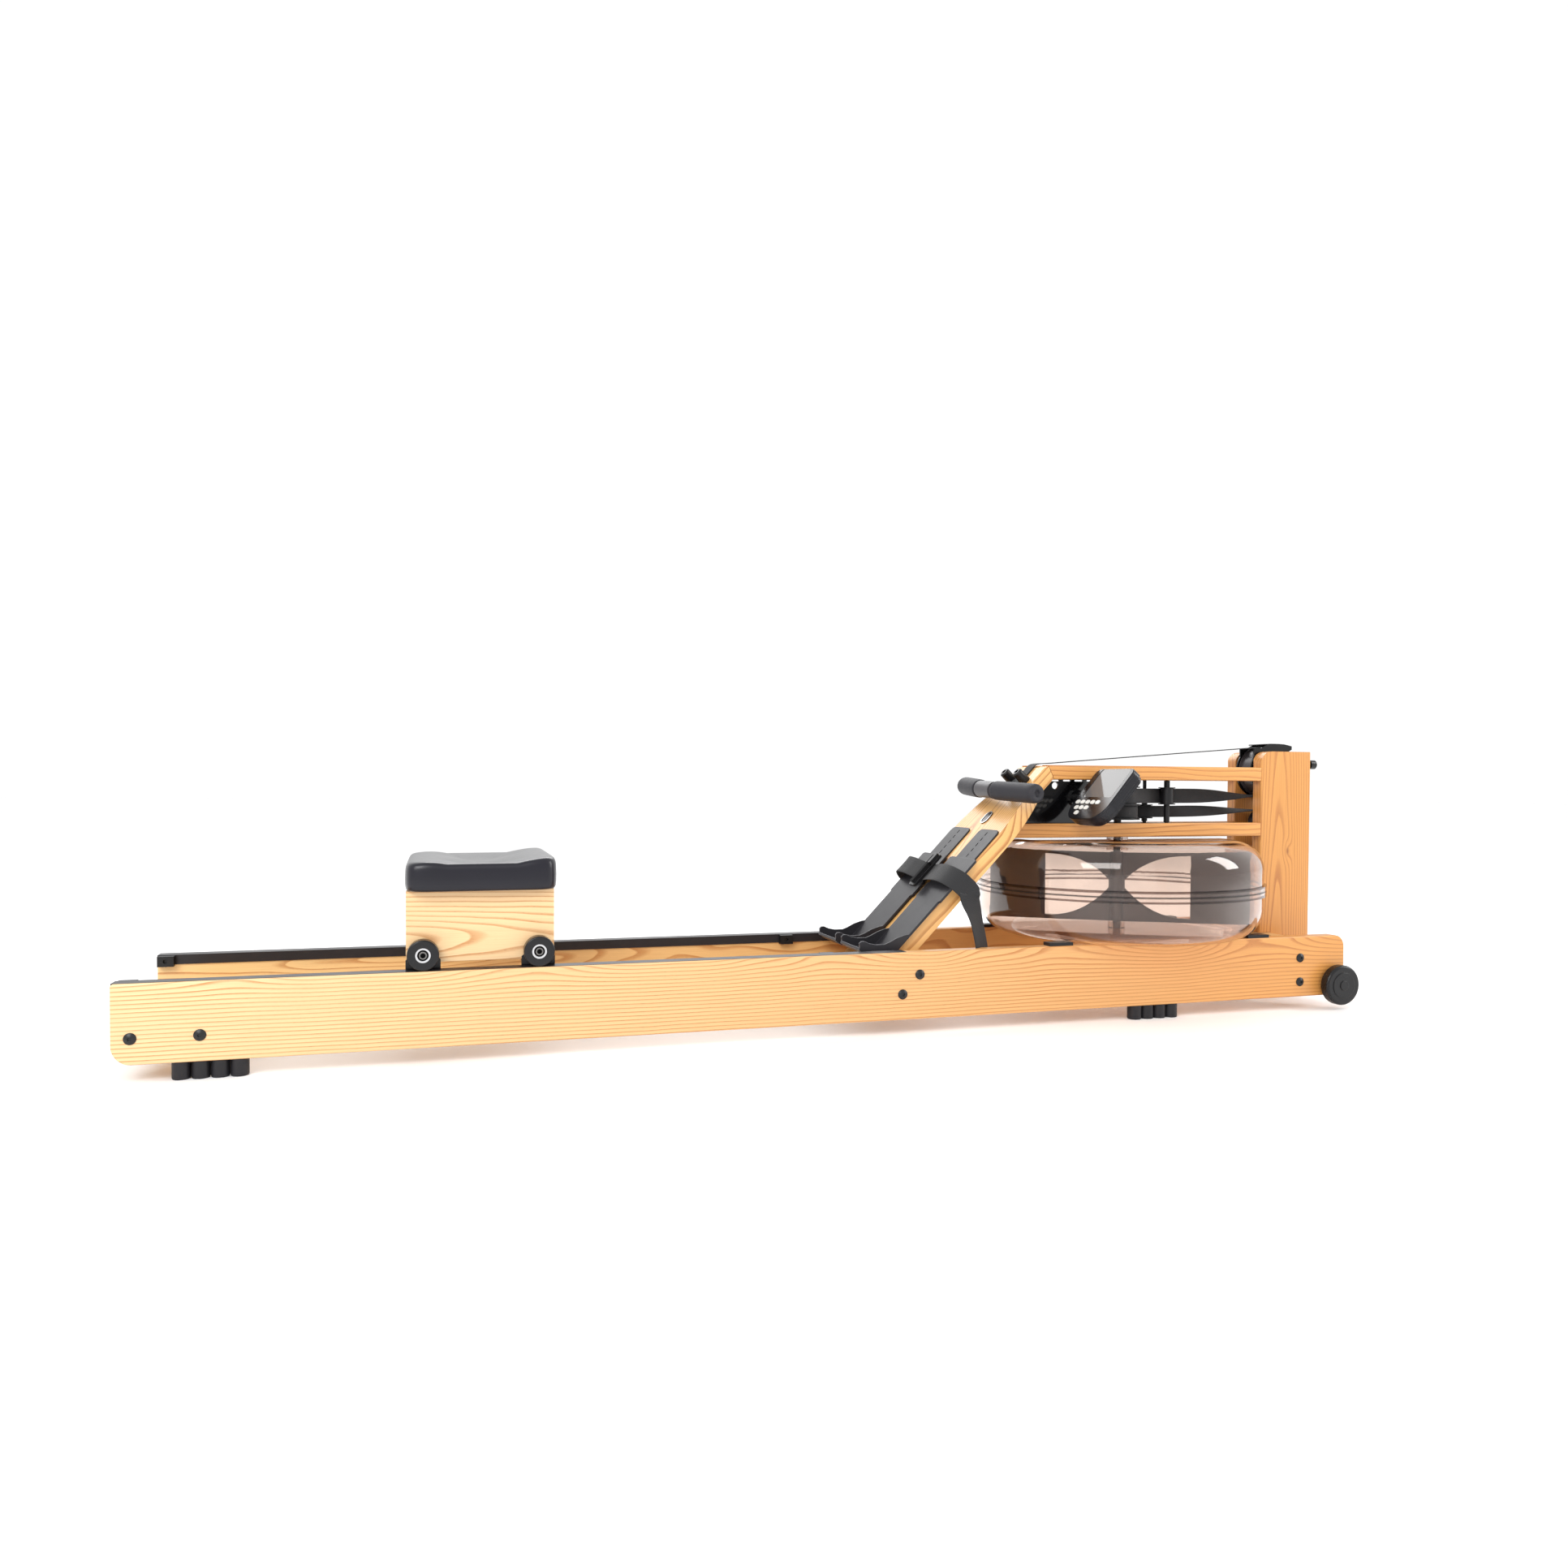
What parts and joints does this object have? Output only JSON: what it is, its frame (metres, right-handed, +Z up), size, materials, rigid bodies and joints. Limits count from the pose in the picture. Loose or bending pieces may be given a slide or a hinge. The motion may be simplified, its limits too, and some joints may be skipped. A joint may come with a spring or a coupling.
{
  "type": "water resistance rowing machine",
  "caption": "Indoor rowing machine with an ash frame, a seat rolling on two rails, a foot board with straps, a pull handle and a clear water tank with a paddle.",
  "frame": {"origin": "on the floor, under the middle of the overall length and width", "axes": "+X along the rails towards the water tank, +Y to the side of the rower's left hand, +Z up"},
  "size_m": [2.1, 0.5308, 0.5037],
  "materials": {
    "ash": "clear satin lacquer",
    "bolt_black": "black oxide",
    "track_plastic": "matt black",
    "black_plastic": "matt black",
    "foot_rubber": "matt black",
    "wheel_plastic": "satin black",
    "axle_steel": "bright zinc",
    "badge_metal": "satin",
    "rest_plastic": "fine grain, near black",
    "webbing": "woven black",
    "bar_plastic": "grey",
    "grip_foam": "dark grey foam",
    "plate_paint": "gloss black",
    "tank_clear": "smoke-tinted clear plastic, taken as glass",
    "paddle_steel": "dark coated metal",
    "monitor_case": "satin black",
    "screen": "light grey display window",
    "key_white": "white",
    "seat_cover": "black, soft"
  },
  "bodies": {
    "frame": {"rail_right": "ash", "rail_left": "ash", "rear_crossbar": "ash", "front_crossbar": "ash", "foot_crossbar": "ash", "post_right": "ash", "post_left": "ash", "arms": "ash", "foot_board": "ash", "rail_bolts": "bolt_black", "tracks": "track_plastic", "track_stops": "black_plastic", "feet": "foot_rubber", "frame_axles": "axle_steel", "badge": "badge_metal", "foot_plates": "rest_plastic", "foot_strap": "webbing", "strap_buckle": "black_plastic", "handle_pegs": "black_plastic", "pulley_guard": "black_plastic", "drum_frame": "black_plastic", "mount_plate": "plate_paint", "tank_upper": "tank_clear", "tank_lower": "tank_clear", "tank_seal_and_pads": "black_plastic", "guard_screw": "black_plastic", "drum_strap": "webbing", "recoil_strap": "webbing"},
    "carriage": {"seat_pad": "seat_cover", "seat_base": "ash", "seat_sides": "ash", "wheel_axles": "axle_steel", "guide_blocks": "black_plastic"},
    "front_wheel_set": {"front_wheels": "wheel_plastic"},
    "rear_wheel_set": {"rear_wheels": "wheel_plastic"},
    "handle": {"handle_bar": "bar_plastic", "handle_grips": "grip_foam", "handle_strap": "webbing"},
    "top_pulley_body": {"top_pulley": "black_plastic"},
    "recoil_pulley_body": {"recoil_pulley": "black_plastic"},
    "drum": {"strap_drum": "black_plastic"},
    "drive_roller_body": {"drive_roller": "black_plastic"},
    "recoil_roller_body": {"recoil_roller": "black_plastic"},
    "water_paddle": {"paddle": "paddle_steel"},
    "castor_wheel_right": {"castor_right": "wheel_plastic"},
    "castor_wheel_left": {"castor_left": "wheel_plastic"},
    "monitor": {"monitor_back": "monitor_case", "monitor_front": "monitor_case", "monitor_screen": "screen"},
    "right_heel_rest": {"heel_rest_right": "rest_plastic"},
    "left_heel_rest": {"heel_rest_left": "rest_plastic"},
    "key_1": {"button_1": "key_white"},
    "key_2": {"button_2": "key_white"},
    "key_3": {"button_3": "key_white"},
    "key_4": {"button_4": "key_white"},
    "key_5": {"button_5": "key_white"},
    "key_6": {"button_6": "key_white"},
    "key_7": {"button_7": "key_white"},
    "key_8": {"button_8": "key_white"},
    "key_9": {"button_9": "key_white"}
  },
  "joints": [
    {"name": "seat_slide", "type": "slide", "parent": "frame", "child": "carriage", "axis": [1, 0, 0], "range_m": [-0.356, 0.4335]},
    {"name": "front_wheel_spin", "type": "hinge", "parent": "carriage", "child": "front_wheel_set", "pos_m": [-0.4739, 0, 0.1615], "axis": [0, 1, 0], "range_deg": [-900, 1100]},
    {"name": "rear_wheel_spin", "type": "hinge", "parent": "carriage", "child": "rear_wheel_set", "pos_m": [-0.6424, 0, 0.1615], "axis": [0, 1, 0], "range_deg": [-900, 1100]},
    {"name": "handle_pull", "type": "slide", "parent": "frame", "child": "handle", "axis": [-0.9903, 0, 0.139], "range_m": [0, 1.1], "stiffness_N_per_m": 40, "springref_m": -0.3, "deforming": ["handle_strap"]},
    {"name": "top_pulley_spin", "type": "hinge", "parent": "frame", "child": "top_pulley_body", "pos_m": [0.966, 0, 0.4495], "axis": [0, 1, 0], "range_deg": [-1400, 20]},
    {"name": "drum_spin", "type": "hinge", "parent": "frame", "child": "drum", "pos_m": [0.6257, 0, 0.385], "axis": [0, 0, 1], "range_deg": [-20, 1820]},
    {"name": "recoil_pulley_spin", "type": "hinge", "parent": "frame", "child": "recoil_pulley_body", "pos_m": [0.966, 0, 0.346], "axis": [0, 1, 0], "range_deg": [-20, 2600]},
    {"name": "drive_roller_spin", "type": "hinge", "parent": "frame", "child": "drive_roller_body", "pos_m": [0.721, -0.02, 0.3995], "axis": [0, 0, 1], "range_deg": [-4800, 20]},
    {"name": "recoil_roller_spin", "type": "hinge", "parent": "frame", "child": "recoil_roller_body", "pos_m": [0.699, 0.02, 0.369], "axis": [0, 0, 1], "range_deg": [-4800, 20]},
    {"name": "paddle_spin", "type": "hinge", "parent": "frame", "child": "water_paddle", "pos_m": [0.6257, 0, 0.231], "axis": [0, 0, 1], "continuous": true},
    {"name": "castor_right_spin", "type": "hinge", "parent": "frame", "child": "castor_wheel_right", "pos_m": [1.0026, -0.1645, 0.0463], "axis": [0, 1, 0], "continuous": true},
    {"name": "castor_left_spin", "type": "hinge", "parent": "frame", "child": "castor_wheel_left", "pos_m": [1.0026, 0.1645, 0.0463], "axis": [0, 1, 0], "continuous": true},
    {"name": "monitor_tilt", "type": "hinge", "parent": "frame", "child": "monitor", "pos_m": [0.5215, -0.072, 0.3944], "axis": [0, 1, 0], "range_deg": [-15, 20]},
    {"name": "heel_rest_right_slide", "type": "slide", "parent": "frame", "child": "right_heel_rest", "axis": [0.6947, 0, 0.7193], "range_m": [-0.013, 0.052]},
    {"name": "heel_rest_left_slide", "type": "slide", "parent": "frame", "child": "left_heel_rest", "axis": [0.6947, 0, 0.7193], "range_m": [-0.013, 0.052]},
    {"name": "key_1_press", "type": "slide", "parent": "monitor", "child": "key_1", "axis": [0.766, 0, -0.6428], "range_m": [0, 0.0012], "stiffness_N_per_m": 200, "springref_m": -0.001},
    {"name": "key_2_press", "type": "slide", "parent": "monitor", "child": "key_2", "axis": [0.766, 0, -0.6428], "range_m": [0, 0.0012], "stiffness_N_per_m": 200, "springref_m": -0.001},
    {"name": "key_3_press", "type": "slide", "parent": "monitor", "child": "key_3", "axis": [0.766, 0, -0.6428], "range_m": [0, 0.0012], "stiffness_N_per_m": 200, "springref_m": -0.001},
    {"name": "key_4_press", "type": "slide", "parent": "monitor", "child": "key_4", "axis": [0.766, 0, -0.6428], "range_m": [0, 0.0012], "stiffness_N_per_m": 200, "springref_m": -0.001},
    {"name": "key_5_press", "type": "slide", "parent": "monitor", "child": "key_5", "axis": [0.766, 0, -0.6428], "range_m": [0, 0.0012], "stiffness_N_per_m": 200, "springref_m": -0.001},
    {"name": "key_6_press", "type": "slide", "parent": "monitor", "child": "key_6", "axis": [0.766, 0, -0.6428], "range_m": [0, 0.0012], "stiffness_N_per_m": 200, "springref_m": -0.001},
    {"name": "key_7_press", "type": "slide", "parent": "monitor", "child": "key_7", "axis": [0.766, 0, -0.6428], "range_m": [0, 0.0012], "stiffness_N_per_m": 200, "springref_m": -0.001},
    {"name": "key_8_press", "type": "slide", "parent": "monitor", "child": "key_8", "axis": [0.766, 0, -0.6428], "range_m": [0, 0.0012], "stiffness_N_per_m": 200, "springref_m": -0.001},
    {"name": "key_9_press", "type": "slide", "parent": "monitor", "child": "key_9", "axis": [0.766, 0, -0.6428], "range_m": [0, 0.0012], "stiffness_N_per_m": 200, "springref_m": -0.001}
  ],
  "couplings": [
    {"joint": "front_wheel_spin", "follows": "seat_slide", "rad_per_m": 43.478},
    {"joint": "rear_wheel_spin", "follows": "seat_slide", "rad_per_m": 43.478},
    {"joint": "top_pulley_spin", "follows": "handle_pull", "rad_per_m": -20.704},
    {"joint": "drum_spin", "follows": "handle_pull", "rad_per_m": 27.933},
    {"joint": "recoil_pulley_spin", "follows": "handle_pull", "rad_per_m": 38.76},
    {"joint": "drive_roller_spin", "follows": "handle_pull", "rad_per_m": -74.627},
    {"joint": "recoil_roller_spin", "follows": "handle_pull", "rad_per_m": -74.627}
  ]
}
